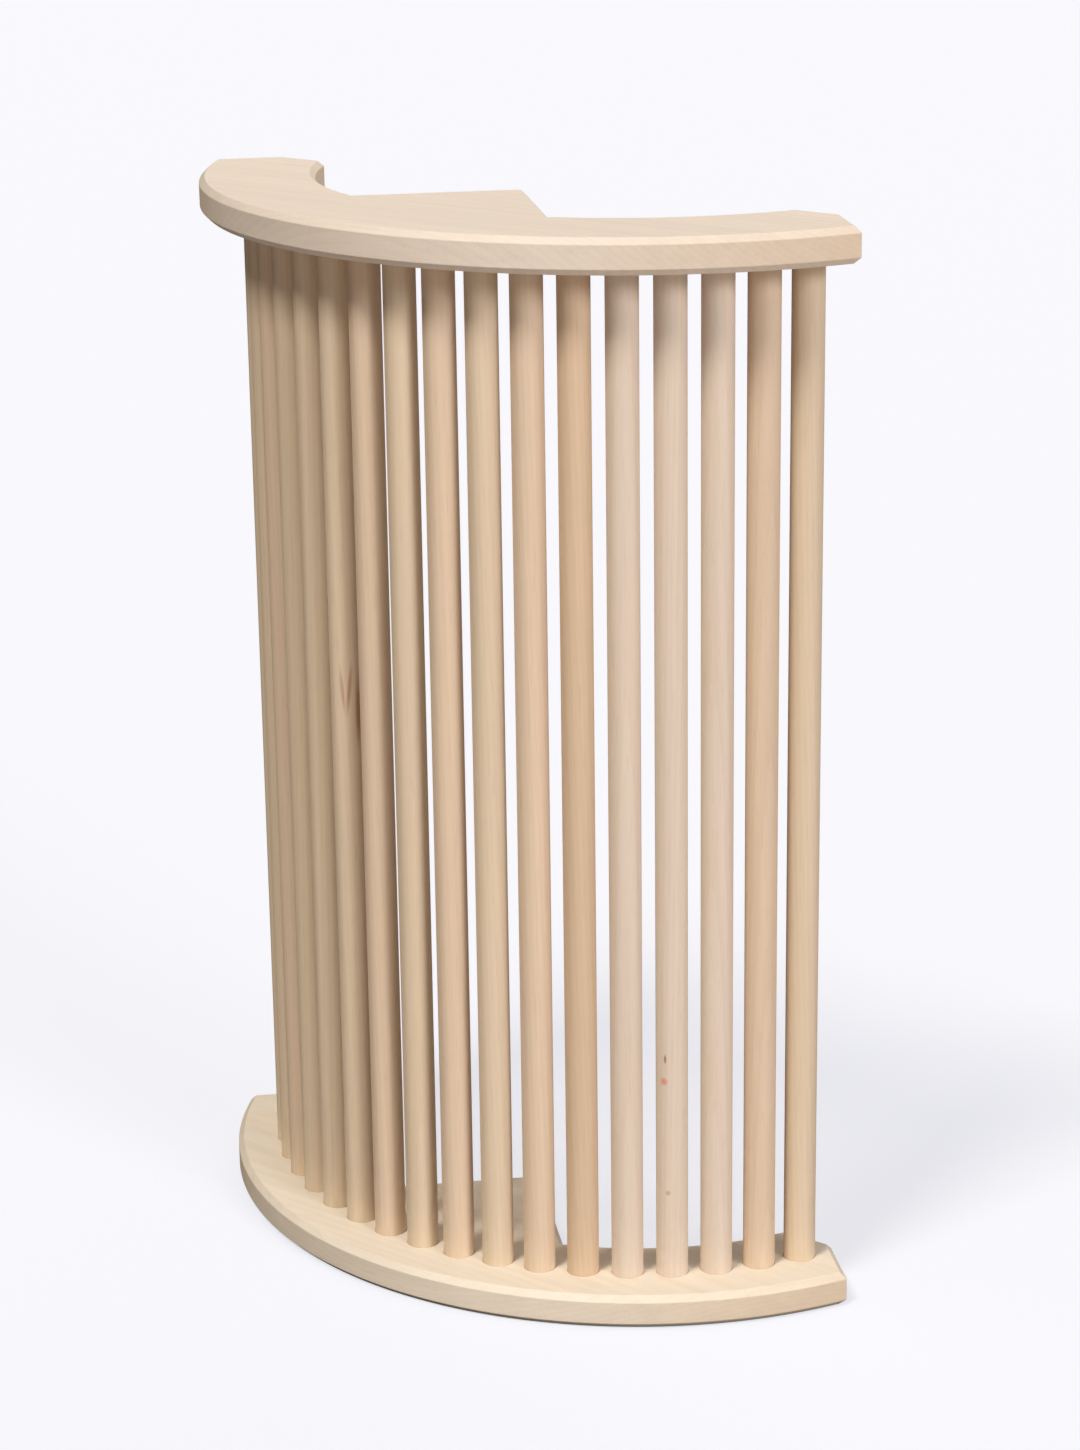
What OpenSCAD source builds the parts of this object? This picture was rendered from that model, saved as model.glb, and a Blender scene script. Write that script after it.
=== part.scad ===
// Slatted guard that stands across the corner of a room.
// A curved board at the floor and a matching one at the top carry an arc of
// round dowels, glued into blind sockets. The ends of both boards are cut to
// lie flat on the walls, and a pointed tab at the back aims at the corner.

/* [Dowels] */
// Diameter of a dowel
dowel_d = 20; // [14:0.5:22]
// Number of dowels along the arc, an odd number so that one is in the middle
dowel_count = 19; // [5:2:19]
// Angle from one dowel to the next, in degrees
dowel_pitch = 6.75; // [6.2:0.05:7]
// Clear height between the boards
clear_h = 640; // [200:10:720]
// Depth of the blind socket in each board
socket_depth = 12; // [6:1:15]
// Radial glue gap between a dowel and its socket
glue_gap = 0.05; // [0.02:0.01:0.2]
// Lead-in chamfer on each end of a dowel
dowel_lead = 1.5; // [0.5:0.5:3]

/* [Boards] */
// Thickness of a board
board_t = 22; // [18:1:30]
// Radius of the curved front edge
front_r = 276; // [270:1:300]
// Width of the curved band
band_w = 74; // [60:1:84]
// Chamfer along the curved edges
curve_chamfer = 4; // [1:0.5:6]
// Chamfer along the straight edges that are parallel to a wall. The three
// chamfers differ a little, so that they meet in clean corners
wall_chamfer = 3.8; // [0.8:0.1:5.8]
// Chamfer along the straight back cut and the blunt point of the tab
back_chamfer = 3.6; // [0.6:0.1:5.6]

/* [Fit in the corner] */
// Distance from the centre of the curve back to the corner of the walls
corner_y = 125.5; // [120:0.5:140]
// Distance from the centre of the curve forward to the straight back cut
back_cut = 90; // [80:1:96]
// Distance from the centre of the curve forward to the point of the tab
tab_point = 113; // [100:1:130]
// Width of the small flat that blunts the point of the tab
tab_flat = 6; // [2:1:12]

/* [Hidden] */
// Angle between a wall and the guard's own left-right line
wall_angle = 45;
// The dowels stand on the middle of the band
dowel_circle_r = front_r - band_w / 2;
back_r = front_r - band_w;
dowel_r = dowel_d / 2;
dowel_len = clear_h + 2 * socket_depth;
total_h = clear_h + 2 * board_t;
// The origin is under the middle of the bounding box, so the curve's centre
// lies this far behind it
centre_y = (front_r + back_cut) / 2;
// Longer than any board, for cutting planes
reach = 3 * front_r;
cut_margin = 1;

board_colour = "#eadcc3";
dowel_colour = "#dfc8a9";

$fn = 96;
arc_fn = 360;

function dowel_angle(i) = (i - (dowel_count + 1) / 2) * dowel_pitch;
function dowel_name(i) = str("dowel_", i < 10 ? "0" : "", i);

// Places its children on the dowel circle at the place of dowel i
module at_dowel(i) {
    rotate([0, 0, dowel_angle(i)])
        translate([0, -dowel_circle_r, 0])
            children();
}

// Full ring of the curved band, chamfered along its front and back edges
module band_ring() {
    rotate_extrude($fn = arc_fn)
        polygon([
            [back_r + curve_chamfer, 0],
            [front_r - curve_chamfer, 0],
            [front_r, curve_chamfer],
            [front_r, board_t - curve_chamfer],
            [front_r - curve_chamfer, board_t],
            [back_r + curve_chamfer, board_t],
            [back_r, board_t - curve_chamfer],
            [back_r, curve_chamfer]
        ]);
}

// Everything that a straight chamfered edge leaves of a board: the edge faces
// the direction given by angle and lies at distance from the curve's centre
module inside_edge(angle, distance, edge_chamfer) {
    rotate([0, 0, angle])
        translate([distance, 0, 0])
            rotate([90, 0, 0])
                linear_extrude(2 * reach, center = true)
                    polygon([
                        [-reach, 0],
                        [-edge_chamfer, 0],
                        [0, edge_chamfer],
                        [0, board_t - edge_chamfer],
                        [-edge_chamfer, board_t],
                        [-reach, board_t]
                    ]);
}

// What is left between two straight edges that are parallel to the left and
// the right wall and would meet on the guard's middle line at point_y
module inside_wall_edges(point_y) {
    intersection_for (angle = [wall_angle, 180 - wall_angle])
        inside_edge(angle, point_y * sin(wall_angle), wall_chamfer);
}

// Curved band with its ends cut to the walls and its rear corners cut straight
module band() {
    intersection() {
        band_ring();
        inside_wall_edges(corner_y);
        inside_edge(90, -back_cut, back_chamfer);
    }
}

// Pointed tab at the back of the band, its sides parallel to the walls
module tab() {
    intersection() {
        cylinder(h = board_t, r = dowel_circle_r, $fn = arc_fn);
        inside_wall_edges(-tab_point);
        inside_edge(90, -tab_point - tab_flat / 2, back_chamfer);
    }
}

// One board lying on z = 0, with its sockets open upwards
module board() {
    difference() {
        union() {
            band();
            tab();
        }
        for (i = [1 : dowel_count])
            at_dowel(i)
                translate([0, 0, board_t - socket_depth])
                    cylinder(h = socket_depth + cut_margin, r = dowel_r + glue_gap);
    }
}

module bottom_board() {
    color(board_colour)
        translate([0, centre_y, 0])
            board();
}

module top_board() {
    color(board_colour)
        translate([0, centre_y, total_h])
            mirror([0, 0, 1])
                board();
}

module dowel(i) {
    color(dowel_colour)
        translate([0, centre_y, board_t - socket_depth])
            at_dowel(i) {
                cylinder(h = dowel_lead, r1 = dowel_r - dowel_lead, r2 = dowel_r);
                translate([0, 0, dowel_lead])
                    cylinder(h = dowel_len - 2 * dowel_lead, r = dowel_r);
                translate([0, 0, dowel_len - dowel_lead])
                    cylinder(h = dowel_lead, r1 = dowel_r, r2 = dowel_r - dowel_lead);
            }
}

bottom_board();
top_board();
for (i = [1 : dowel_count])
    dowel(i);
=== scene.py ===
"""Slatted corner guard: two curved boards joined by an arc of round dowels, in bare sanded wood."""

import math
import random

import bmesh
import bpy
from mathutils import Matrix, Quaternion, Vector


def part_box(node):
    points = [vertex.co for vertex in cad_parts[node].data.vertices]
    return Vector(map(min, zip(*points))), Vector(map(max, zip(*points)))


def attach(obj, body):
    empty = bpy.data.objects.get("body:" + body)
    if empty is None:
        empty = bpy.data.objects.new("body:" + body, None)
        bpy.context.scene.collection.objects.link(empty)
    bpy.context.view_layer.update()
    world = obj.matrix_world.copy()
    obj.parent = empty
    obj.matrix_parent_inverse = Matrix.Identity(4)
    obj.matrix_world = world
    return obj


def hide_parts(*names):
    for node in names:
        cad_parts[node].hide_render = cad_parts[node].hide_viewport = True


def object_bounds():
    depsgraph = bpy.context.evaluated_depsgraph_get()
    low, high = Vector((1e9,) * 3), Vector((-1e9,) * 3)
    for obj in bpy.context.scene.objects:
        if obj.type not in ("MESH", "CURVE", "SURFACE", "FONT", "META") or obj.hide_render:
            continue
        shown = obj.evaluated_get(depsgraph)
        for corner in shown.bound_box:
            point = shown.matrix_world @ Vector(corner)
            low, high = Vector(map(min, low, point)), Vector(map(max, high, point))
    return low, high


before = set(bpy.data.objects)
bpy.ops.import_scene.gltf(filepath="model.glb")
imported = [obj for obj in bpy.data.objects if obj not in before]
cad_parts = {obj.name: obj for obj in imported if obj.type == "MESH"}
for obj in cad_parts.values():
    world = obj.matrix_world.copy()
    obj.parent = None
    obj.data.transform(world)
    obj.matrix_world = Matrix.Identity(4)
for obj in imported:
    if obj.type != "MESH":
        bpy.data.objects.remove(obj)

CAD_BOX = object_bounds()

bl_info = {
    "name": "Slatted Corner Guard",
    "version": (1, 0, 0),
    "blender": (4, 5, 0),
    "location": "3D View > Sidebar > Guard",
    "description": "Curved slatted wooden guard that stands across the corner of a room",
    "category": "Object",
}

MM = 0.001
# Points closer together than this are one point
SAME_PLACE = 0.01 * MM
# Turn from one point to the next along a curved edge of a board
ARC_STEP = math.radians(1.5)
# An edge of a board that turns by more than this gets its arris softened
ARRIS_TURN = math.radians(15)
# Edges that turn by more than these are shaded as creases
BOARD_CREASE = math.radians(5)
DOWEL_CREASE = math.radians(30)
DOWEL_SIDES = 64
SOCKET_SIDES = 48
STAGE_SIDES = 96
# Starts the draws for the dowels' places in the log
LOG_SEED = 19

DOWELS = sorted(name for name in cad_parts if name.startswith("dowel_"))
MIDDLE = DOWELS[len(DOWELS) // 2]
# Tone of each dowel from the left end of the arc to the right: one batch of wood is never one colour
TONES = (
    "cream cream cream cream peach cream cream cream peach cream "
    "peach cream peach tan pale pale pale peach cream"
).split()
# Small marks in the dowels: the dowel, the way that the mark faces in degrees turned from the front to
# the right, its height above the floor, tilt of its long axis about X and Y, half width, half length,
# colour and strength. Lengths are in millimetres. Three streaks of one growth ring are on a dowel left of
# the middle, and a slit and two pin knots low on a dowel at the right.
MARKS = (
    ("dowel_08", 25, 385, (2, -4), 1.7, 20, "streak", 0.6),
    ("dowel_08", 50, 385, (-5, 4), 1.9, 22, "streak", 0.7),
    ("dowel_08", 85, 370, (0, 0), 3.4, 28, "streak", 0.9),
    ("dowel_16", 10, 170, (0, 0), 1.2, 4.2, "slit", 0.9),
    ("dowel_16", 5, 155, (0, 0), 3.6, 3.6, "knot", 0.85),
    ("dowel_16", 20, 80, (0, 0), 2.4, 2.4, "slit", 0.4),
)


def linear(hex_colour):
    """Linear colour of an sRGB hex value."""
    parts = [int(hex_colour[i:i + 2], 16) / 255 for i in (1, 3, 5)]
    return tuple(c / 12.92 if c <= 0.04045 else ((c + 0.055) / 1.055) ** 2.4 for c in parts)


def corners(node):
    """Low and high corner of a node's box in the frame."""
    return tuple(Vector(corner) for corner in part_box(node))


def middle_of(node):
    low, high = corners(node)
    return (low + high) / 2


def radius_of(dowel):
    low, high = corners(dowel)
    return (high.x - low.x) / 2


# ---------------------------------------------------------------- sizes and colours


class GuardSizes(bpy.types.PropertyGroup):
    """Sizes of the boards and dowels that the boxes of the frame don't give."""

    tab_reach: bpy.props.FloatProperty(
        name="Tab Reach", description="How far the pointed tab stands back from the curved band",
        default=86 * MM, unit="LENGTH")
    tab_flat: bpy.props.FloatProperty(
        name="Tab Flat", description="Width of the small flat that blunts the point of the tab",
        default=6 * MM, unit="LENGTH")
    chamfer: bpy.props.FloatProperty(
        name="Chamfer", description="Chamfer along every edge of a board",
        default=3.8 * MM, unit="LENGTH")
    arris: bpy.props.FloatProperty(
        name="Arris", description="Softening that sandpaper leaves along every sharp line",
        default=0.45 * MM, unit="LENGTH")
    socket_depth: bpy.props.FloatProperty(
        name="Socket Depth", description="Depth of a blind socket in a board",
        default=12 * MM, unit="LENGTH")
    glue_gap: bpy.props.FloatProperty(
        name="Glue Gap", description="Gap round a dowel in its socket",
        default=0.05 * MM, unit="LENGTH")
    mouth_ease: bpy.props.FloatProperty(
        name="Mouth Ease", description="Chamfer that the drill leaves round the mouth of a socket",
        default=0.35 * MM, unit="LENGTH")
    dowel_lead: bpy.props.FloatProperty(
        name="Dowel Lead", description="Lead-in chamfer on the ends of a dowel",
        default=1.5 * MM, unit="LENGTH")


class GuardColours(bpy.types.PropertyGroup):
    """Colours of the bare wood and of the stage."""

    top_board: bpy.props.FloatVectorProperty(
        name="Top Board", description="Planed and sanded face of the top board",
        subtype="COLOR", default=linear("#e8dbcc"), min=0, max=1)
    # The bottom board's slightly yellower tone is painted light: it stands in for warm light that the
    # dowels throw back onto its face
    bottom_board: bpy.props.FloatVectorProperty(
        name="Bottom Board", description="Planed and sanded face of the bottom board, a little yellower",
        subtype="COLOR", default=linear("#e8dcca"), min=0, max=1)
    board_late: bpy.props.FloatVectorProperty(
        name="Board Latewood", description="Dark line that ends each growth ring of a board",
        subtype="COLOR", default=linear("#d3b996"), min=0, max=1)
    end_grain: bpy.props.FloatVectorProperty(
        name="End Grain", description="Open end grain, which drinks in light",
        subtype="COLOR", default=linear("#dcc6ac"), min=0, max=1)
    cream: bpy.props.FloatVectorProperty(
        name="Cream Dowel", description="Dowel of the usual tone",
        subtype="COLOR", default=linear("#e0ccb1"), min=0, max=1)
    pale: bpy.props.FloatVectorProperty(
        name="Pale Dowel", description="Dowel cut from the palest sapwood",
        subtype="COLOR", default=linear("#e3d2c0"), min=0, max=1)
    peach: bpy.props.FloatVectorProperty(
        name="Peach Dowel", description="Dowel with a pink cast",
        subtype="COLOR", default=linear("#e1cab0"), min=0, max=1)
    tan: bpy.props.FloatVectorProperty(
        name="Tan Dowel", description="Dowel cut nearer to the heart",
        subtype="COLOR", default=linear("#dbc1a3"), min=0, max=1)
    streak: bpy.props.FloatVectorProperty(
        name="Streak", description="Reddish streak where a dowel cuts a growth ring at a shallow angle",
        subtype="COLOR", default=linear("#b98468"), min=0, max=1)
    knot: bpy.props.FloatVectorProperty(
        name="Pin Knot", description="Pink mark of a bud under the bark",
        subtype="COLOR", default=linear("#e3937f"), min=0, max=1)
    slit: bpy.props.FloatVectorProperty(
        name="Slit", description="Short brown slit along the fibres",
        subtype="COLOR", default=linear("#93705a"), min=0, max=1)
    walls: bpy.props.FloatVectorProperty(
        name="Walls", description="Walls of the studio away from the white screen",
        subtype="COLOR", default=linear("#ecd2c0"), min=0, max=1)
    floor: bpy.props.FloatVectorProperty(
        name="Floor", description="Plain pale acrylic sheet under the guard",
        subtype="COLOR", default=linear("#8f8f93"), min=0, max=1)
    backdrop: bpy.props.FloatVectorProperty(
        name="Backdrop", description="White backdrop",
        subtype="COLOR", default=linear("#f8f8fd"), min=0, max=1)
    mat: bpy.props.FloatVectorProperty(
        name="Mat", description="Black felt of the mat, and the backdrop's own colour under its glow",
        subtype="COLOR", default=linear("#2b2522"), min=0, max=1)
    floor_glow: bpy.props.FloatVectorProperty(
        name="Floor Glow", description="Light that comes up through the sheet and thins out shadows on it",
        subtype="COLOR", default=linear("#d2d4da"), min=0, max=1)


class GuardGrain(bpy.types.PropertyGroup):
    """Sizes of the figure in the wood: real ones, but for fibres and pores, which are drawn coarser."""

    ring_width: bpy.props.FloatProperty(
        name="Ring Width", description="Width of one growth ring",
        default=3.4 * MM, unit="LENGTH")
    # A real fibre is about 0.03 mm wide
    fibre_width: bpy.props.FloatProperty(
        name="Fibre Width", description="Width of one visible bundle of fibres",
        default=0.9 * MM, unit="LENGTH")
    streak_width: bpy.props.FloatProperty(
        name="Streak Width", description="Width of a soft light or dark streak",
        default=7 * MM, unit="LENGTH")
    # A real pore of this wood is under 0.1 mm wide
    pore_width: bpy.props.FloatProperty(
        name="Pore Width", description="Width of a cluster of open pores",
        default=0.45 * MM, unit="LENGTH")
    torn_size: bpy.props.FloatProperty(
        name="Torn Size", description="Size of the specks where the saw tore fibres out of the end grain",
        default=2.6 * MM, unit="LENGTH")
    blotch_size: bpy.props.FloatProperty(
        name="Blotch Size", description="Size of the slow change of tone along a board",
        default=90 * MM, unit="LENGTH")


class GuardStage(bpy.types.PropertyGroup):
    """Camera, lights and floor."""

    camera_place: bpy.props.FloatVectorProperty(
        name="Camera Place", description="Place of the camera",
        subtype="XYZ", unit="LENGTH", default=(1.3117, -1.6738, 1.0273))
    camera_heading: bpy.props.FloatProperty(
        name="Camera Heading", description="Turn of the line of sight to the left of +Y",
        subtype="ANGLE", default=math.radians(36.84))
    camera_dip: bpy.props.FloatProperty(
        name="Camera Dip", description="Angle at which the camera looks down",
        subtype="ANGLE", default=math.radians(17.54))
    camera_roll: bpy.props.FloatProperty(
        name="Camera Roll", description="Turn of the picture about the line of sight",
        subtype="ANGLE", default=math.radians(-0.776))
    camera_lens: bpy.props.FloatProperty(
        name="Camera Lens", description="Focal length for a picture 36 mm high, in millimetres",
        default=88.17)
    key_heading: bpy.props.FloatProperty(
        name="Key Light Heading", description="Place of the key light, turned from the front to the right",
        subtype="ANGLE", default=math.radians(76))
    key_height: bpy.props.FloatProperty(
        name="Key Light Height", description="Angle of the key light above the floor",
        subtype="ANGLE", default=math.radians(24))
    key_spread: bpy.props.FloatProperty(
        name="Key Light Spread", description="Angle that the key light's soft box fills",
        subtype="ANGLE", default=math.radians(20))
    key_strength: bpy.props.FloatProperty(
        name="Key Light Strength", description="Light on a surface square to the key light",
        default=1.5)
    top_heading: bpy.props.FloatProperty(
        name="Top Light Heading", description="Place of the top light, turned from the front to the right",
        subtype="ANGLE", default=math.radians(-2))
    top_height: bpy.props.FloatProperty(
        name="Top Light Height", description="Angle of the top light above the floor",
        subtype="ANGLE", default=math.radians(57))
    top_spread: bpy.props.FloatProperty(
        name="Top Light Spread", description="Angle that the top light's soft box fills",
        subtype="ANGLE", default=math.radians(15))
    top_strength: bpy.props.FloatProperty(
        name="Top Light Strength", description="Light on a surface square to the top light",
        default=2.2)
    ceiling_heading: bpy.props.FloatProperty(
        name="Ceiling Light Heading", description="Side to which the ceiling light leans",
        subtype="ANGLE", default=math.radians(60))
    ceiling_height: bpy.props.FloatProperty(
        name="Ceiling Light Height", description="Angle of the ceiling light above the floor",
        subtype="ANGLE", default=math.radians(85))
    ceiling_spread: bpy.props.FloatProperty(
        name="Ceiling Light Spread", description="Angle that the pale ceiling fills",
        subtype="ANGLE", default=math.radians(80))
    ceiling_strength: bpy.props.FloatProperty(
        name="Ceiling Light Strength", description="Light on a surface square to the ceiling light",
        default=0.2)
    back_heading: bpy.props.FloatProperty(
        name="Back Light Heading",
        description="Place of the back light, turned from the front to the right",
        subtype="ANGLE", default=math.radians(200))
    back_height: bpy.props.FloatProperty(
        name="Back Light Height", description="Angle of the back light above the floor",
        subtype="ANGLE", default=math.radians(28))
    back_spread: bpy.props.FloatProperty(
        name="Back Light Spread", description="Angle that the back light's soft box fills",
        subtype="ANGLE", default=math.radians(80))
    back_strength: bpy.props.FloatProperty(
        name="Back Light Strength", description="Light on a surface square to the back light",
        default=0.8)
    screen_heading: bpy.props.FloatProperty(
        name="Screen Heading", description="Place of the white screen, turned from the front to the right",
        subtype="ANGLE", default=math.radians(70))
    screen_height: bpy.props.FloatProperty(
        name="Screen Height", description="Angle of the middle of the white screen above the floor",
        subtype="ANGLE", default=math.radians(-42))
    screen_edge: bpy.props.FloatProperty(
        name="Screen Edge", description="Angle from the middle of the screen at which its light is gone",
        subtype="ANGLE", default=math.radians(110))
    screen_strength: bpy.props.FloatProperty(
        name="Screen Strength", description="Brightness of the middle of the screen", default=0.55)
    room_strength: bpy.props.FloatProperty(
        name="Room Strength", description="Even light from the rest of the studio", default=0.08)
    mat_reach: bpy.props.FloatProperty(
        name="Mat Reach", description="How far the dark mat under the floor reaches beyond the curve",
        default=4 * MM, unit="LENGTH")
    mat_depth: bpy.props.FloatProperty(
        name="Mat Depth", description="How far the mat lies below the top of the floor",
        default=1 * MM, unit="LENGTH")
    backdrop_radius: bpy.props.FloatProperty(
        name="Backdrop Radius", description="Distance from the guard to the backdrop all round",
        default=28.8, unit="LENGTH")
    floor_size: bpy.props.FloatProperty(
        name="Floor Size", description="Width of the floor", default=60, unit="LENGTH")


# ---------------------------------------------------------------- meshes and materials


def add_node(tree, kind, settings=None, inputs=None):
    """Adds a node, sets its properties, and fills its inputs with values or with other nodes' outputs."""
    node = tree.nodes.new(kind)
    for name, value in (settings or {}).items():
        setattr(node, name, value)
    for socket, value in (inputs or {}).items():
        if isinstance(value, bpy.types.NodeSocket):
            tree.links.new(value, node.inputs[socket])
        else:
            node.inputs[socket].default_value = value
    return node


def turn_profile(bm, profile, steps):
    """Turns a line of (radius, height) points round the Z axis, and returns the closed shape's vertices."""
    line = [bm.verts.new((radius, 0, height)) for radius, height in profile]
    edges = [bm.edges.new(pair) for pair in zip(line, line[1:])]
    older = set(bm.verts) - set(line)
    bmesh.ops.spin(bm, geom=line + edges, cent=(0, 0, 0), axis=(0, 0, 1), angle=math.tau, steps=steps,
                   use_merge=True)
    bmesh.ops.remove_doubles(bm, verts=[v for v in bm.verts if v not in older], dist=SAME_PLACE)
    return [v for v in bm.verts if v not in older]


def mesh_object(name, bm):
    """Puts a finished bmesh into a new object at the origin."""
    bmesh.ops.recalc_face_normals(bm, faces=bm.faces)
    mesh = bpy.data.meshes.new(name)
    bm.to_mesh(mesh)
    bm.free()
    obj = bpy.data.objects.new(name, mesh)
    bpy.context.scene.collection.objects.link(obj)
    return obj


def shade(mesh, limit):
    """Shades a mesh smoothly, except across edges that turn by more than the limit."""
    bm = bmesh.new()
    bm.from_mesh(mesh)
    for face in bm.faces:
        face.smooth = True
    for edge in bm.edges:
        edge.smooth = len(edge.link_faces) == 2 and edge.calc_face_angle(math.pi) < limit
    bm.to_mesh(mesh)
    bm.free()


def lay_grain(mesh, stock_from_object, tint):
    """Stores where each vertex lay in the log, and the tone of the piece."""
    places = mesh.attributes.new("stock", "FLOAT_VECTOR", "POINT")
    for vertex, place in zip(mesh.vertices, places.data):
        place.vector = stock_from_object @ vertex.co
    tone = mesh.attributes.new("tint", "FLOAT_COLOR", "POINT")
    for point in tone.data:
        point.color = (*tint, 1)


def finish_piece(obj, material, node):
    """Gives a piece its material and lets it stand for its node."""
    obj.data.materials.append(material)
    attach(obj, "root")
    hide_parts(node)


def sanded_wood(name, late, end, torn_from, grain, marks):
    """Bare lime wood, planed and sanded, not oiled: pale and even, with faint rings, fine fibres and tiny
    pores that catch a little shadow, a dull surface, and browner open end grain."""
    material = bpy.data.materials.new(name)
    material.use_nodes = True
    tree = material.node_tree
    tree.nodes.clear()
    place = add_node(tree, "ShaderNodeAttribute", {"attribute_name": "stock"}).outputs["Vector"]
    tint = add_node(tree, "ShaderNodeAttribute", {"attribute_name": "tint"}).outputs["Color"]
    here = add_node(tree, "ShaderNodeTexCoord")
    colours = bpy.context.scene.guard_colours

    # Stretched along the fibres, so that everything is long and thin
    along = add_node(tree, "ShaderNodeMapping", {}, {"Vector": place, "Scale": (1, 1, 0.02)}).outputs[0]
    slow = add_node(tree, "ShaderNodeMapping", {}, {"Vector": place, "Scale": (1, 1, 0.12)}).outputs[0]

    # A ring pattern of scale 1 repeats every tenth of pi
    rings = add_node(
        tree, "ShaderNodeTexWave",
        {"wave_type": "RINGS", "rings_direction": "Z", "wave_profile": "SAW"},
        {"Vector": slow, "Scale": 0.1 * math.pi / grain.ring_width, "Distortion": 2.6, "Detail": 2,
         "Detail Scale": 0.12, "Detail Roughness": 0.55}).outputs["Fac"]
    late_line = add_node(
        tree, "ShaderNodeMapRange", {"interpolation_type": "SMOOTHSTEP"},
        {"Value": rings, "From Min": 0.35, "From Max": 1.0, "To Min": 0, "To Max": 0.12}).outputs[0]
    fibres, streaks, blotches, pores = (
        add_node(
            tree, "ShaderNodeTexNoise", {},
            {"Vector": way, "Scale": 1 / width, "Detail": detail, "Roughness": rough}).outputs["Fac"]
        for way, width, detail, rough in (
            (along, grain.fibre_width, 3, 0.6),
            (along, grain.streak_width, 2, 0.5),
            (slow, grain.blotch_size, 2, 0.5),
            (along, grain.pore_width, 0, 0.4)))
    pore_mask = add_node(
        tree, "ShaderNodeMapRange", {"interpolation_type": "SMOOTHSTEP"},
        {"Value": pores, "From Min": 0.64, "From Max": 0.76, "To Min": 0, "To Max": 1}).outputs[0]

    # Tone of the piece, then rings, streaks, blotches, fibres and pores laid over it
    late_tone = add_node(
        tree, "ShaderNodeMix", {"data_type": "RGBA", "blend_type": "MULTIPLY"},
        {0: 1.0, 6: tint, 7: (*late, 1)}).outputs[2]
    ringed = add_node(
        tree, "ShaderNodeMix", {"data_type": "RGBA"}, {0: late_line, 6: tint, 7: late_tone}).outputs[2]
    # The noises are about 0.5 on average, so that the first level and the strengths come to 1
    value = 0.81
    for pattern, strength in ((streaks, 0.14), (blotches, 0.14), (fibres, 0.10), (pore_mask, -0.08)):
        value = add_node(tree, "ShaderNodeMath", {"operation": "MULTIPLY_ADD"},
                         {0: pattern, 1: strength, 2: value}).outputs[0]
    colour = add_node(tree, "ShaderNodeHueSaturation", {}, {"Value": value, "Color": ringed}).outputs[0]

    # Marks: soft-edged spots, long or round, each at its own place on one piece
    for dowel, way, height, tilt, half_width, half_length, word, strength in marks:
        outward = Vector((math.sin(math.radians(way)), -math.cos(math.radians(way)), 0))
        centre = middle_of(dowel) + radius_of(dowel) * outward
        centre.z = CAD_BOX[0][2] + height * MM
        inside = add_node(
            tree, "ShaderNodeMapping", {"vector_type": "TEXTURE"},
            {"Vector": here.outputs["Object"], "Location": centre,
             "Rotation": (math.radians(tilt[0]), math.radians(tilt[1]), 0),
             "Scale": (half_width * MM, half_width * MM, half_length * MM)}).outputs[0]
        away = add_node(
            tree, "ShaderNodeVectorMath", {"operation": "LENGTH"}, {0: inside}).outputs["Value"]
        spot = add_node(
            tree, "ShaderNodeMapRange", {"interpolation_type": "SMOOTHSTEP"},
            {"Value": away, "From Min": 0.2, "From Max": 1, "To Min": strength, "To Max": 0}).outputs[0]
        colour = add_node(
            tree, "ShaderNodeMix", {"data_type": "RGBA"},
            {0: spot, 6: colour, 7: (*getattr(colours, word), 1)}).outputs[2]

    # The faces that look along the fibres show open end grain
    if end is not None:
        normal = add_node(tree, "ShaderNodeSeparateXYZ", {}, {0: here.outputs["Normal"]})
        facing = add_node(
            tree, "ShaderNodeMath", {"operation": "ABSOLUTE"}, {0: normal.outputs["X"]}).outputs[0]
        end_mask = add_node(
            tree, "ShaderNodeMapRange", {"interpolation_type": "SMOOTHSTEP"},
            {"Value": facing, "From Min": 0.35, "From Max": 1.0, "To Min": 0, "To Max": 0.85}).outputs[0]
        end_tone = add_node(
            tree, "ShaderNodeMix", {"data_type": "RGBA", "blend_type": "MULTIPLY"},
            {0: 1.0, 6: colour, 7: (*end, 1)}).outputs[2]
        colour = add_node(
            tree, "ShaderNodeMix", {"data_type": "RGBA"},
            {0: end_mask, 6: colour, 7: end_tone}).outputs[2]
        # Fibres that the saw tore out leave brown specks on the ends that lie against the walls
        torn = add_node(
            tree, "ShaderNodeTexNoise", {},
            {"Vector": here.outputs["Object"], "Scale": 1 / grain.torn_size, "Detail": 2,
             "Roughness": 0.6}).outputs["Fac"]
        specks = add_node(
            tree, "ShaderNodeMapRange", {"interpolation_type": "SMOOTHSTEP"},
            {"Value": torn, "From Min": 0.48, "From Max": 0.66, "To Min": 0, "To Max": 0.4}).outputs[0]
        across = add_node(
            tree, "ShaderNodeSeparateXYZ", {}, {0: here.outputs["Object"]}).outputs["X"]
        beyond = add_node(
            tree, "ShaderNodeMath", {"operation": "ABSOLUTE"}, {0: across}).outputs[0]
        for side, low, high in (
                (beyond, torn_from, torn_from + 2 * MM), (normal.outputs["Y"], 0.2, 0.45)):
            turned = add_node(
                tree, "ShaderNodeMapRange", {"interpolation_type": "SMOOTHSTEP"},
                {"Value": side, "From Min": low, "From Max": high}).outputs[0]
            specks = add_node(
                tree, "ShaderNodeMath", {"operation": "MULTIPLY"}, {0: specks, 1: turned}).outputs[0]
        colour = add_node(
            tree, "ShaderNodeMix", {"data_type": "RGBA"},
            {0: specks, 6: colour, 7: (*colours.slit, 1)}).outputs[2]

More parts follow.
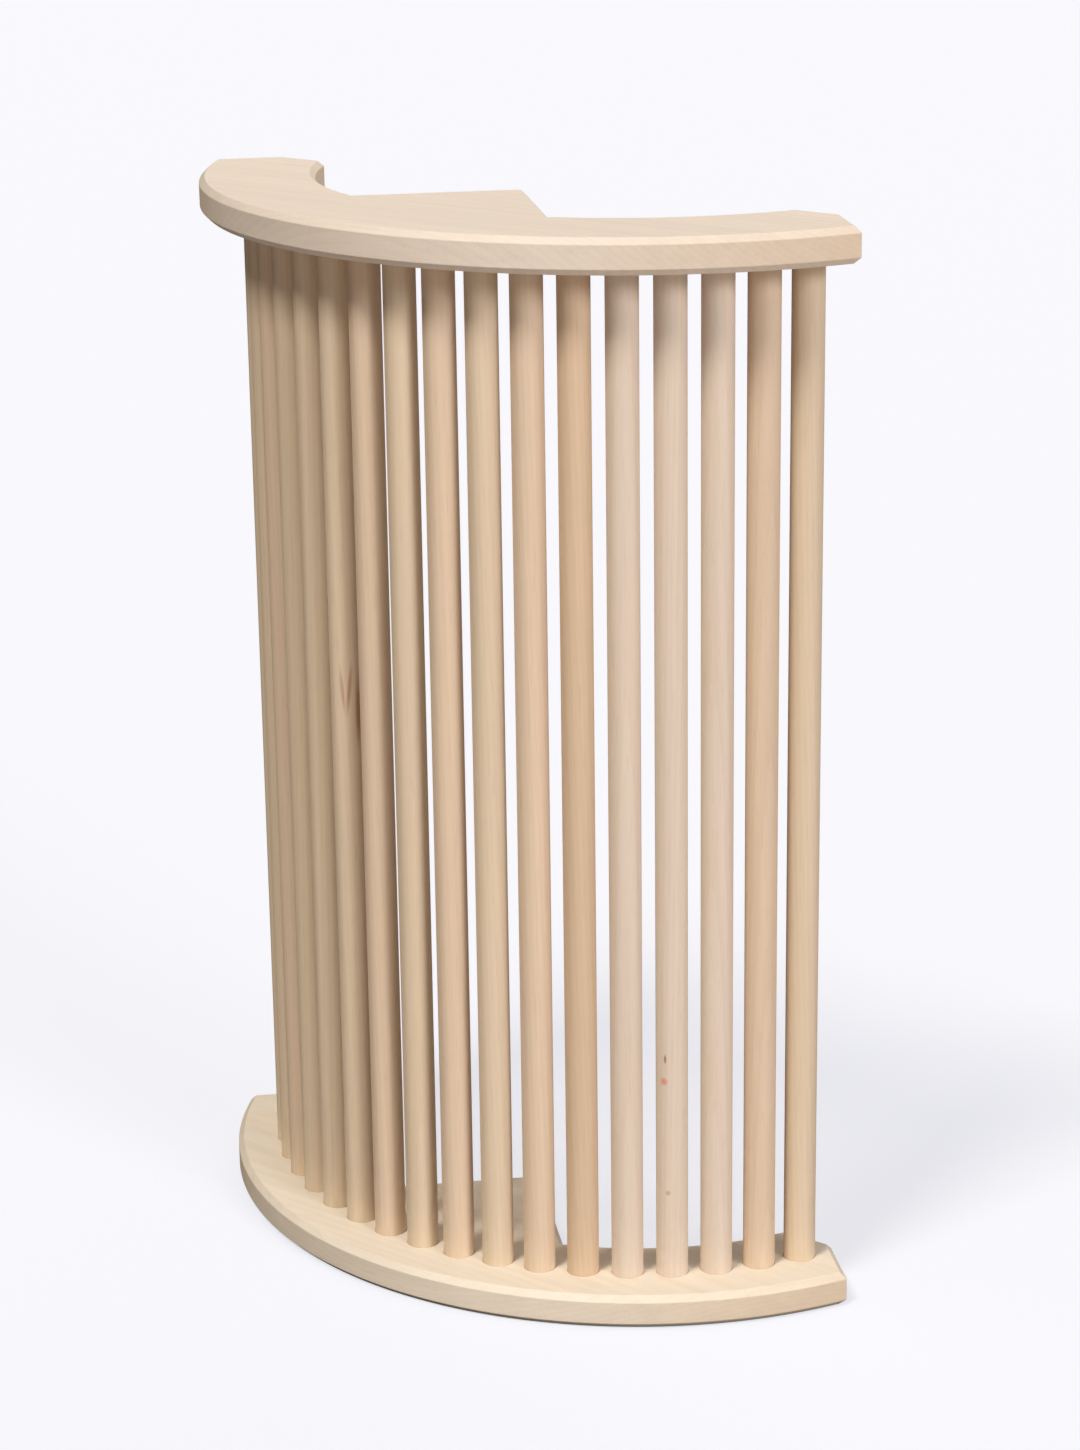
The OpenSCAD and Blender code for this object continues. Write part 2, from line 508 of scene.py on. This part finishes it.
    height = add_node(
        tree, "ShaderNodeMath", {"operation": "MULTIPLY_ADD"},
        {0: pore_mask, 1: -0.8, 2: fibres}).outputs[0]
    bump = add_node(
        tree, "ShaderNodeBump", {}, {"Strength": 0.35, "Distance": 0.08 * MM, "Height": height}).outputs[0]
    roughness = add_node(
        tree, "ShaderNodeMapRange", {}, {"Value": fibres, "To Min": 0.46, "To Max": 0.62}).outputs[0]
    shader = add_node(
        tree, "ShaderNodeBsdfPrincipled", {},
        {"Base Color": colour, "Roughness": roughness, "IOR": 1.45, "Specular IOR Level": 0.5,
         "Normal": bump})
    add_node(tree, "ShaderNodeOutputMaterial", {}, {"Surface": shader.outputs[0]})
    return material


def ratio(colour, base):
    """What a colour must be multiplied by to give another."""
    return tuple(min(c / b, 1.0) for c, b in zip(colour, base))


def plain(name, colour, glow):
    """Acrylic sheet, cloth or felt of the stage: matt, in one colour, and lit from within if it glows."""
    material = bpy.data.materials.new(name)
    material.use_nodes = True
    shader = material.node_tree.nodes["Principled BSDF"]
    shader.inputs["Base Color"].default_value = (*colour, 1)
    shader.inputs["Emission Color"].default_value = (*glow, 1)
    shader.inputs["Emission Strength"].default_value = 1
    shader.inputs["Roughness"].default_value = 0.9
    shader.inputs["Specular IOR Level"].default_value = 0.1
    return material


def stage_piece(name, bm, material, camera_only):
    """Puts a piece of the stage in place. One for the camera only throws no light and no shadow."""
    obj = mesh_object(name, bm)
    obj.data.materials.append(material)
    obj.visible_diffuse = not camera_only
    obj.visible_glossy = not camera_only
    obj.visible_shadow = not camera_only


# ---------------------------------------------------------------- plan of the guard


class Plan:
    """Lines of the guard seen from above, worked out from the boxes of the frame."""

    def __init__(self, sizes):
        low, high = corners("bottom_board")
        self.thick = high.z - low.z
        self.floor = low.z
        middle = middle_of(MIDDLE)
        end = middle_of(DOWELS[-1])
        rise = end.y - middle.y
        # Circle through the middle dowel and the end dowel, centred on the guard's middle line
        self.circle_r = (end.x ** 2 + rise ** 2) / (2 * rise)
        self.centre_y = middle.y + self.circle_r
        self.front_r = self.centre_y - low.y
        self.back_r = 2 * self.circle_r - self.front_r
        # The wall ends run at 45 degrees from the outer corner to the back cut
        self.front_angle = math.asin(high.x / self.front_r)
        corner_y = self.centre_y - self.front_r * math.cos(self.front_angle)
        self.back_y = high.y
        self.back_x = high.x - (self.back_y - corner_y)
        self.back_angle = math.acos((self.centre_y - self.back_y) / self.back_r)
        # The sides of the tab run at 45 degrees too, from its blunt point to the curved back
        self.tab_half = sizes.tab_flat / 2
        self.tab_y = self.centre_y - self.back_r + sizes.tab_reach
        point = self.centre_y - self.tab_y - self.tab_half
        self.tab_angle = math.radians(45) - math.asin(point / (math.sqrt(2) * self.back_r))


def draw_arc(bm, start, plan, angle):
    """Runs a line from a vertex round the centre of the curve, and returns its last vertex."""
    steps = math.ceil(abs(angle) / ARC_STEP)
    spun = bmesh.ops.spin(bm, geom=[start], cent=(0, plan.centre_y, 0), axis=(0, 0, 1), angle=angle,
                          steps=steps)
    return [v for v in spun["geom_last"] if isinstance(v, bmesh.types.BMVert)][0]


def draw_line(bm, start, x, y):
    """Runs a straight line from a vertex to a place, and returns its last vertex."""
    end = bmesh.ops.extrude_vert_indiv(bm, verts=[start])["verts"][0]
    end.co = (x, y, start.co.z)
    return end


def board_mesh(plan, sizes):
    """One board lying on z = 0, chamfered all round, with its arrises softened."""
    bm = bmesh.new()
    tip = bm.verts.new((0, plan.centre_y - plan.front_r, 0))
    tip = draw_arc(bm, tip, plan, plan.front_angle)
    tip = draw_line(bm, tip, plan.back_x, plan.back_y)
    tip = draw_line(bm, tip, plan.back_r * math.sin(plan.back_angle), plan.back_y)
    tip = draw_arc(bm, tip, plan, plan.tab_angle - plan.back_angle)
    tip = draw_line(bm, tip, plan.tab_half, plan.tab_y)
    draw_line(bm, tip, 0, plan.tab_y)
    bmesh.ops.mirror(bm, geom=bm.verts[:] + bm.edges[:], axis="X", merge_dist=SAME_PLACE)
    bmesh.ops.remove_doubles(bm, verts=bm.verts, dist=SAME_PLACE)
    face = bmesh.ops.edgeloop_fill(bm, edges=bm.edges[:])["faces"]
    grown = bmesh.ops.extrude_face_region(bm, geom=face)["geom"]
    bmesh.ops.translate(bm, verts=[v for v in grown if isinstance(v, bmesh.types.BMVert)],
                        vec=(0, 0, plan.thick))
    bmesh.ops.recalc_face_normals(bm, faces=bm.faces)
    rims = [e for e in bm.edges if abs(e.verts[0].co.z - e.verts[1].co.z) < SAME_PLACE]
    bmesh.ops.bevel(bm, geom=rims, offset=sizes.chamfer, offset_type="OFFSET", affect="EDGES", segments=1,
                    profile=0.5, material=-1, clamp_overlap=False)
    sharp = [e for e in bm.edges if e.calc_face_angle(0) > ARRIS_TURN]
    bmesh.ops.bevel(bm, geom=sharp, offset=sizes.arris, offset_type="OFFSET", affect="EDGES", segments=3,
                    profile=0.5, material=-1, clamp_overlap=True)
    return bm


def socket_cutter(plan, sizes):
    """Shapes of all the sockets, reaching down from the top of a board that lies on z = 0."""
    bm = bmesh.new()
    hole_r = radius_of(MIDDLE) + sizes.glue_gap
    over = 1 * MM
    for name in DOWELS:
        middle = middle_of(name)
        verts = turn_profile(bm, (
            (0, plan.thick - sizes.socket_depth),
            (hole_r, plan.thick - sizes.socket_depth),
            (hole_r, plan.thick - sizes.mouth_ease),
            (hole_r + sizes.mouth_ease + over, plan.thick + over),
            (0, plan.thick + over),
        ), SOCKET_SIDES)
        bmesh.ops.translate(bm, verts=verts, vec=(middle.x, middle.y, 0))
    return mesh_object("socket_cutter", bm)


def cut(obj, cutter):
    """Cuts one shape out of another, and keeps the result as the object's mesh."""
    boolean = obj.modifiers.new("sockets", "BOOLEAN")
    boolean.operation = "DIFFERENCE"
    boolean.solver = "EXACT"
    boolean.object = cutter
    graph = bpy.context.evaluated_depsgraph_get()
    mesh = bpy.data.meshes.new_from_object(obj.evaluated_get(graph))
    obj.modifiers.clear()
    obj.data = mesh
    return mesh


# ---------------------------------------------------------------- operators


class GUARD_OT_boards(bpy.types.Operator):
    """Makes the bottom board and the top board"""

    bl_idname = "guard.boards"
    bl_label = "Make Boards"

    def execute(self, context):
        sizes = context.scene.guard_sizes
        colours = context.scene.guard_colours
        plan = Plan(sizes)
        cutter = socket_cutter(plan, sizes)
        wood = sanded_wood(
            "sanded_lime_board", ratio(colours.board_late, colours.top_board),
            ratio(colours.end_grain, colours.top_board), plan.back_x - sizes.chamfer,
            context.scene.guard_grain, ())
        top = corners("top_board")[1].z
        # Each board's log: its heart lay below the bottom board and behind the top one, along X
        logs = {
            "bottom_board": (Vector((0, 0.03, -0.16)), 0.0),
            "top_board": (Vector((0.2, 0.11, -0.11)), 0.4),
        }
        for node, (heart, along) in logs.items():
            board = mesh_object(node + "_planed", board_mesh(plan, sizes))
            mesh = cut(board, cutter)
            shade(mesh, BOARD_CREASE)
            # The log lies along X, and the saw ran across its fibres by a little over a degree
            to_stock = (
                Matrix.Rotation(math.radians(91.2), 4, "Y")
                @ Matrix.Translation(Vector((along, 0, 0)) - heart))
            lay_grain(mesh, to_stock, getattr(colours, node))
            if node == "top_board":
                mesh.transform(Matrix.Translation((0, 0, top)) @ Matrix.Scale(-1, 4, (0, 0, 1)))
                mesh.flip_normals()
            else:
                mesh.transform(Matrix.Translation((0, 0, plan.floor)))
            finish_piece(board, wood, node)
        bpy.data.objects.remove(cutter)
        return {"FINISHED"}


class GUARD_OT_dowels(bpy.types.Operator):
    """Makes the dowels, each with its own tone and its own place in the log"""

    bl_idname = "guard.dowels"
    bl_label = "Make Dowels"

    def execute(self, context):
        sizes = context.scene.guard_sizes
        colours = context.scene.guard_colours
        wood = sanded_wood(
            "sanded_lime_dowel", ratio(colours.board_late, colours.top_board), None, None,
            context.scene.guard_grain, MARKS)
        chance = random.Random(LOG_SEED)
        for name, tone in zip(DOWELS, TONES):
            low, high = corners(name)
            radius = radius_of(name)
            bm = bmesh.new()
            turn_profile(bm, (
                (0, low.z),
                (radius - sizes.dowel_lead, low.z),
                (radius, low.z + sizes.dowel_lead),
                (radius, high.z - sizes.dowel_lead),
                (radius - sizes.dowel_lead, high.z),
                (0, high.z),
            ), DOWEL_SIDES)
            dowel = mesh_object(name + "_turned", bm)
            shade(dowel.data, DOWEL_CREASE)
            # Each dowel came from its own place in the log, a little across the fibres
            to_stock = (
                Matrix.Translation((chance.uniform(15, 80) * MM, 0, chance.uniform(0, 4)))
                @ Matrix.Rotation(math.radians(chance.uniform(-1.6, 1.6)), 4, "Y")
                @ Matrix.Rotation(chance.uniform(0, math.tau), 4, "Z"))
            lay_grain(dowel.data, to_stock, getattr(colours, tone))
            dowel.data.transform(Matrix.Translation(((low.x + high.x) / 2, (low.y + high.y) / 2, 0)))
            finish_piece(dowel, wood, name)
        return {"FINISHED"}


class GUARD_OT_stage(bpy.types.Operator):
    """Makes the camera, the lights and the floor"""

    bl_idname = "guard.stage"
    bl_label = "Make Stage"

    def execute(self, context):
        scene = context.scene
        stage = scene.guard_stage
        scene.view_settings.view_transform = "Standard"

        lens = bpy.data.cameras.new("camera")
        lens.lens = stage.camera_lens
        lens.clip_end = stage.floor_size
        camera = bpy.data.objects.new("camera", lens)
        camera.location = stage.camera_place
        camera.rotation_mode = "QUATERNION"
        camera.rotation_quaternion = (
            Quaternion((0, 0, 1), stage.camera_heading)
            @ Quaternion((1, 0, 0), math.pi / 2 - stage.camera_dip)
            @ Quaternion((0, 0, 1), stage.camera_roll))
        scene.collection.objects.link(camera)
        scene.camera = camera

        lamps = {"key": "#fbf9fc", "top": "#fffbf3", "ceiling": "#fffaf2", "back": "#fff8f0"}
        for part, colour in lamps.items():
            heading, height, spread, strength = (
                getattr(stage, f"{part}_{word}") for word in ("heading", "height", "spread", "strength"))
            lamp = bpy.data.lights.new(part + "_light", "SUN")
            lamp.energy = strength
            lamp.angle = spread
            lamp.color = linear(colour)
            light = bpy.data.objects.new(part + "_light", lamp)
            light.rotation_mode = "QUATERNION"
            light.rotation_quaternion = (
                Quaternion((0, 0, 1), heading) @ Quaternion((1, 0, 0), math.pi / 2 - height))
            scene.collection.objects.link(light)

        # The studio: a white screen to the right that fades out at its edge, and dim walls all round
        world = bpy.data.worlds.new("white_studio")
        world.use_nodes = True
        tree = world.node_tree
        sky = tree.nodes["Background"]
        way = add_node(tree, "ShaderNodeTexCoord").outputs["Generated"]
        to_screen = Vector((math.sin(stage.screen_heading) * math.cos(stage.screen_height),
                            -math.cos(stage.screen_heading) * math.cos(stage.screen_height),
                            math.sin(stage.screen_height)))
        facing = add_node(tree, "ShaderNodeVectorMath", {"operation": "DOT_PRODUCT"},
                          {0: way, 1: to_screen}).outputs["Value"]
        glow = add_node(
            tree, "ShaderNodeMapRange", {"interpolation_type": "SMOOTHSTEP"},
            {"Value": facing, "From Min": math.cos(stage.screen_edge), "From Max": 1}).outputs[0]
        screen = [part * stage.screen_strength for part in linear("#fff0e6")]
        walls = [part * stage.room_strength for part in scene.guard_colours.walls]
        light = add_node(tree, "ShaderNodeMix", {"data_type": "RGBA"},
                         {0: glow, 6: (*walls, 1), 7: (*screen, 1)}).outputs[2]
        tree.links.new(light, sky.inputs["Color"])
        scene.world = world

        # Frosted acrylic sheet lit from below, as in a product studio: matt, glowing, no mirror image
        colours = scene.guard_colours
        bm = bmesh.new()
        bmesh.ops.create_grid(bm, x_segments=1, y_segments=1, size=stage.floor_size / 2)
        bmesh.ops.translate(bm, verts=bm.verts, vec=(0, 0, CAD_BOX[0][2]))
        stage_piece("floor", bm, plain("frosted_acrylic", colours.floor, colours.floor_glow), True)

        # A lit white backdrop all round, which throws no light on the guard
        bm = bmesh.new()
        radius = stage.backdrop_radius
        bmesh.ops.create_cone(bm, segments=STAGE_SIDES, radius1=radius, radius2=radius, depth=2 * radius)
        stage_piece("backdrop", bm, plain("lit_fabric", colours.mat, colours.backdrop), True)

        # A dark mat under the sheet, a little wider than the curve, keeps the light from below off its edge
        plan = Plan(scene.guard_sizes)
        bm = bmesh.new()
        bmesh.ops.create_circle(
            bm, cap_ends=True, segments=STAGE_SIDES, radius=plan.front_r + stage.mat_reach)
        bmesh.ops.translate(bm, verts=bm.verts, vec=(0, plan.centre_y, CAD_BOX[0][2] - stage.mat_depth))
        stage_piece("mat", bm, plain("black_felt", colours.mat, (0, 0, 0)), False)
        return {"FINISHED"}


class GUARD_PT_panel(bpy.types.Panel):
    """Sizes, colours and steps of the slatted corner guard"""

    bl_idname = "GUARD_PT_panel"
    bl_label = "Slatted Corner Guard"
    bl_space_type = "VIEW_3D"
    bl_region_type = "UI"
    bl_category = "Guard"

    def draw(self, context):
        for group in GROUPS:
            box = self.layout.box()
            settings = getattr(context.scene, group)
            for name in settings.bl_rna.properties.keys():
                if name not in ("rna_type", "name"):
                    box.prop(settings, name)
        for operator in STEPS:
            self.layout.operator(operator)


GROUPS = {
    "guard_sizes": GuardSizes,
    "guard_colours": GuardColours,
    "guard_grain": GuardGrain,
    "guard_stage": GuardStage,
}
STEPS = ("guard.stage", "guard.boards", "guard.dowels")
CLASSES = (*GROUPS.values(), GUARD_OT_boards, GUARD_OT_dowels, GUARD_OT_stage, GUARD_PT_panel)


def register():
    for cls in CLASSES:
        bpy.utils.register_class(cls)
    for name, cls in GROUPS.items():
        setattr(bpy.types.Scene, name, bpy.props.PointerProperty(type=cls))


def unregister():
    for name in GROUPS:
        delattr(bpy.types.Scene, name)
    for cls in reversed(CLASSES):
        bpy.utils.unregister_class(cls)


def main():
    register()
    bpy.ops.guard.stage()
    bpy.ops.guard.boards()
    bpy.ops.guard.dowels()


if __name__ == "__main__":
    main()
